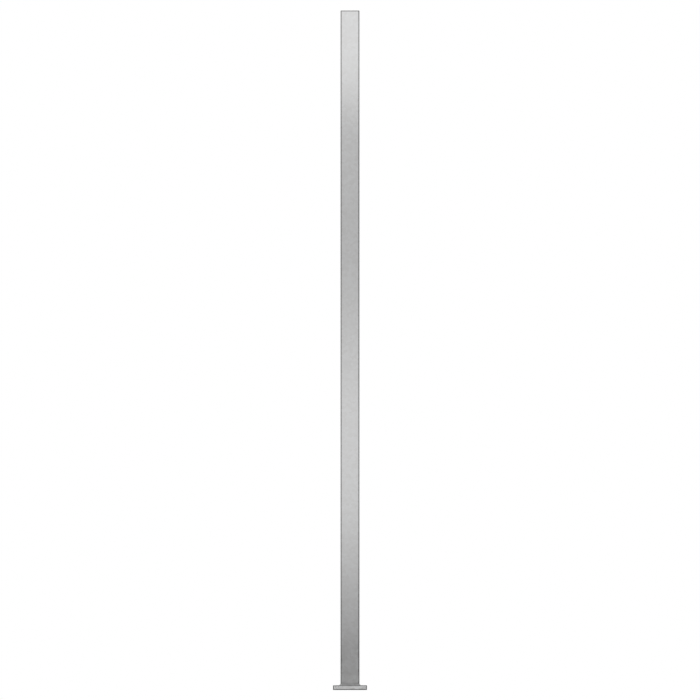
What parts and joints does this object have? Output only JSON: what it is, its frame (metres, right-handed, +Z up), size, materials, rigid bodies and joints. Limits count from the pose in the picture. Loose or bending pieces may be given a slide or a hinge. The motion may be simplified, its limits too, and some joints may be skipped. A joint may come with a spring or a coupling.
{
  "type": "fence post",
  "caption": "Square hollow steel fence post, welded to a square base plate that bolts down at its corners, with a push-in plastic cap closing the top.",
  "frame": {"origin": "middle of the base plate's underside, where it meets the ground", "axes": "+Z up along the post, X and Y square to the tube's faces, with the drawn front facing -Y"},
  "size_m": [0.09, 0.09, 1.8],
  "materials": {
    "tube_zinc": "satin hot-dip galvanised zinc over cold-formed steel",
    "plate_zinc": "satin hot-dip galvanised zinc over hot-rolled flat",
    "weld_zinc": "galvanised zinc over a rippled weld bead",
    "cap_plastic": "fine-grained dark grey polyethylene"
  },
  "bodies": {
    "root": {"post_tube": "tube_zinc", "base_plate": "plate_zinc", "foot_weld": "weld_zinc", "post_cap": "cap_plastic"}
  },
  "joints": []
}
